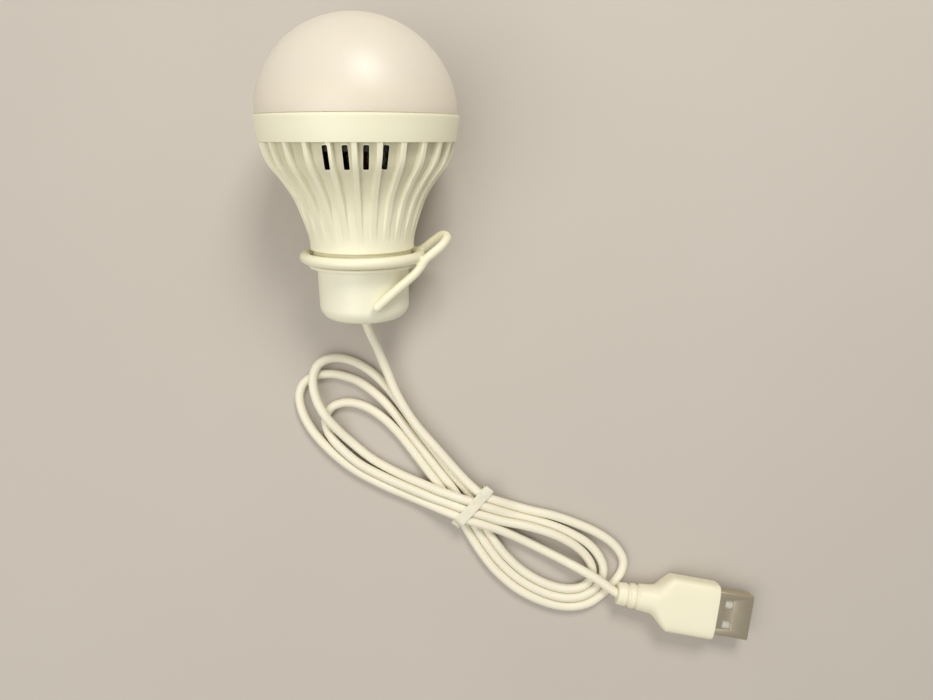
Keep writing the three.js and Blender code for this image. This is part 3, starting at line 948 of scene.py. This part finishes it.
# Plug shell: nickel-plated steel sheet, folded into a flat tube that is seamed underneath, with two
# windows on each wide side for the socket's springs.
SHELL_REACH = 0.0094
SHELL_INSERTED = 0.0084
SHELL_SIZE = (0.012, 0.0045)
SHEET = 0.0003
WINDOW = 0.0022
WINDOW_X = SHELL_REACH - 0.0062
WINDOW_Y = 0.0027
SEAM = 0.00011
SHELL_CORNER = 0.0007
shell_length = SHELL_REACH + SHELL_INSERTED
corner_y = SHELL_SIZE[0] / 2 - SHELL_CORNER
corner_z = SHELL_SIZE[1] / 2 - SHELL_CORNER
shell_outline = []
for side_y, side_z, start in [(1, 1, 0), (-1, 1, 90), (-1, -1, 180), (1, -1, 270)]:
    bend = arc((side_y * corner_y, side_z * corner_z), (SHELL_CORNER, SHELL_CORNER), start, start + 90, 6)
    shell_outline += [(SHELL_REACH, y, z) for y, z in bend]
shell = drawn("plug_sleeve", [*shell_outline, shell_outline[0]])
bpy.ops.mesh.remove_doubles(threshold=1e-6)
bpy.ops.mesh.extrude_region_move(TRANSFORM_OT_translate={"value": (-shell_length, 0, 0)})
bpy.ops.mesh.select_all(action="SELECT")
bpy.ops.mesh.normals_make_consistent(inside=False)
bpy.ops.object.mode_set(mode="OBJECT")
modified(shell, "SOLIDIFY", thickness=SHEET, offset=-1)
window_cutters = []
for place, size in [
    ((WINDOW_X, WINDOW_Y, 0), (WINDOW, WINDOW, 0.01)),
    ((WINDOW_X, -WINDOW_Y, 0), (WINDOW, WINDOW, 0.01)),
    ((0, 0.0006, -SHELL_SIZE[1] / 2), (0.03, SEAM, 0.001)),
]:
    cutter = begin(bpy.ops.mesh.primitive_cube_add, "window_cutter", size=1, location=place)
    bpy.ops.transform.resize(value=size)
    bpy.ops.object.mode_set(mode="OBJECT")
    window_cutters.append(cutter)
windows = joined(*window_cutters)
modified(shell, "BOOLEAN", object=windows, operation="DIFFERENCE", solver="EXACT")
bpy.data.objects.remove(windows)
modified(shell, "BEVEL", width=0.00005, segments=2, limit_method="ANGLE", angle_limit=math.radians(50))
smoothed(shell)
settle_place(shell, to_plug)
# The nickel's pale grey is tinted warm brown: a painted reflection of warm surroundings.
fit(shell, steel_finish("shell_nickel", (0.68, 0.60, 0.44), 0.38), "bulb", "shell_nickel", "plug_shell")

# Plug tongue and contacts: a white plastic plate along the shell's upper side, with four gold-plated
# contacts on its lower face.
# The white tongue is painted a mid grey: painted shade for its place inside the shell, behind the windows.
tongue = Paint("tongue_white", IOR=1.5)
tongue.vary("Base Color", tongue.mixed(tongue.noise(400), (0.58, 0.56, 0.50), (0.53, 0.51, 0.45)))
tongue.vary("Roughness", 0.4 + 0.15 * tongue.noise(900))
tongue.bump(tongue.noise(2000), 0.00002)
keep("plug_tongue", tongue.material, 0.00015)
contact_gold = steel_finish("contact_gold", (0.83, 0.60, 0.22), 0.28)
for number in range(1, 5):
    keep(f"plug_contact_{number}", contact_gold, 0.00005)

# Ground and light: a plain pale table under a soft lamp, with a wide one at the other side for the shadows.
bpy.ops.object.select_all(action="DESELECT")
bpy.ops.mesh.primitive_plane_add(size=6, location=(0, 0, -GROUND_GAP))
ground = bpy.context.object
ground.name = "ground"
table = Paint("pale_table", Roughness=0.75)
table.vary("Base Color", table.mixed(table.noise(14), (0.50, 0.455, 0.40), (0.53, 0.485, 0.43)))
ground.data.materials.append(table.material)


def soft_lamp(name, place, size, power, colour):
    """A square lamp turned towards the part."""
    data = bpy.data.lights.new(name, "AREA")
    data.size = size
    data.energy = power
    data.color = colour
    lamp = bpy.data.objects.new(name, data)
    lamp.location = place
    aim = Vector((0.02, -0.04, 0.02)) - Vector(place)
    lamp.rotation_euler = aim.to_track_quat("-Z", "Y").to_euler()
    bpy.context.scene.collection.objects.link(lamp)


soft_lamp("key_lamp", (0.15, 0.36, 0.48), 0.22, 2.1, (1, 0.975, 0.93))
soft_lamp("fill_lamp", (-0.26, -0.22, 0.68), 0.7, 3.1, (1, 0.985, 0.96))
studio = bpy.data.worlds.new("studio")
bpy.context.scene.world = studio
studio.use_nodes = True
studio.node_tree.nodes["Background"].inputs["Color"].default_value = (0.95, 0.93, 0.90, 1)
studio.node_tree.nodes["Background"].inputs["Strength"].default_value = 0.41
